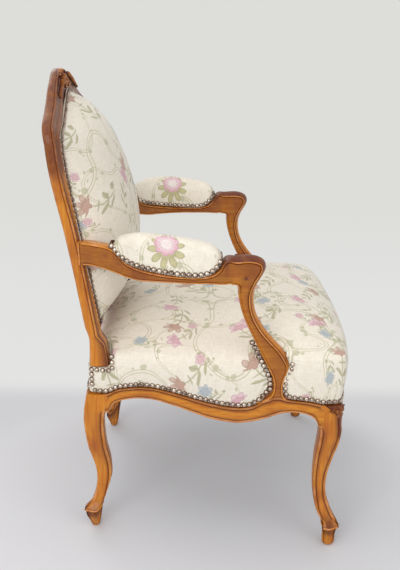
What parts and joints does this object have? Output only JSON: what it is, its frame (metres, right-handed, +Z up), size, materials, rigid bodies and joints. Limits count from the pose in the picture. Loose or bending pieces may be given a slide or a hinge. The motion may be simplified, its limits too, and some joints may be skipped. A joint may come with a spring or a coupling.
{
  "type": "fauteuil",
  "caption": "Open armchair with a carved wooden frame on cabriole legs, a sprung seat, a domed back and padded arms.",
  "frame": {"origin": "on the floor, under the middle of the chair's bounding box", "axes": "+Z up, the sitter looks along -Y, the sitter's left is +X"},
  "size_m": [0.6134, 0.6442, 0.971],
  "materials": {
    "show_wood": "varnished honey-brown beech, darker in the carving and grooves",
    "pegs": "varnished end grain",
    "hidden_wood": "bare beech",
    "cover_cloth": "ivory silk-like cloth with a woven flower pattern",
    "hessian": "coarse hessian",
    "webbing": "jute webbing",
    "stuffing": "curled hair",
    "springs": "copper-washed spring wire",
    "dust_cover": "black cotton lining"
  },
  "bodies": {
    "root": {"front_seat_rail": "show_wood", "rear_seat_rail": "show_wood", "side_seat_rail_left": "show_wood", "side_seat_rail_right": "show_wood", "front_leg_left": "show_wood", "front_leg_right": "show_wood", "rear_leg_left": "show_wood", "rear_leg_right": "show_wood", "crest_rail": "show_wood", "lower_back_rail": "show_wood", "arm_left": "show_wood", "arm_right": "show_wood", "arm_support_left": "show_wood", "arm_support_right": "show_wood", "front_rail_peg_left": "pegs", "front_rail_peg_right": "pegs", "rear_rail_peg_left": "pegs", "rear_rail_peg_right": "pegs", "arm_peg_left": "pegs", "arm_peg_right": "pegs", "crest_peg_left": "pegs", "crest_peg_right": "pegs", "front_corner_block_left": "hidden_wood", "front_corner_block_right": "hidden_wood", "rear_corner_block_left": "hidden_wood", "rear_corner_block_right": "hidden_wood", "seat_cover": "cover_cloth", "back_cover_front": "cover_cloth", "back_cover_rear": "cover_cloth", "arm_cover_left": "cover_cloth", "arm_cover_right": "cover_cloth", "seat_hessian": "hessian", "back_hessian": "hessian", "seat_web_lengthwise_1": "webbing", "seat_web_crosswise_1": "webbing", "seat_web_lengthwise_2": "webbing", "seat_web_crosswise_2": "webbing", "seat_web_lengthwise_3": "webbing", "seat_web_crosswise_3": "webbing", "seat_web_lengthwise_4": "webbing", "seat_web_crosswise_4": "webbing", "seat_web_lengthwise_5": "webbing", "seat_web_crosswise_5": "webbing", "back_web_1": "webbing", "back_web_2": "webbing", "back_web_3": "webbing", "seat_stuffing": "stuffing", "back_stuffing": "stuffing", "arm_stuffing_left": "stuffing", "arm_stuffing_right": "stuffing", "seat_spring_1": "springs", "seat_spring_2": "springs", "seat_spring_3": "springs", "seat_spring_4": "springs", "seat_spring_5": "springs", "dust_cover": "dust_cover"}
  },
  "joints": []
}
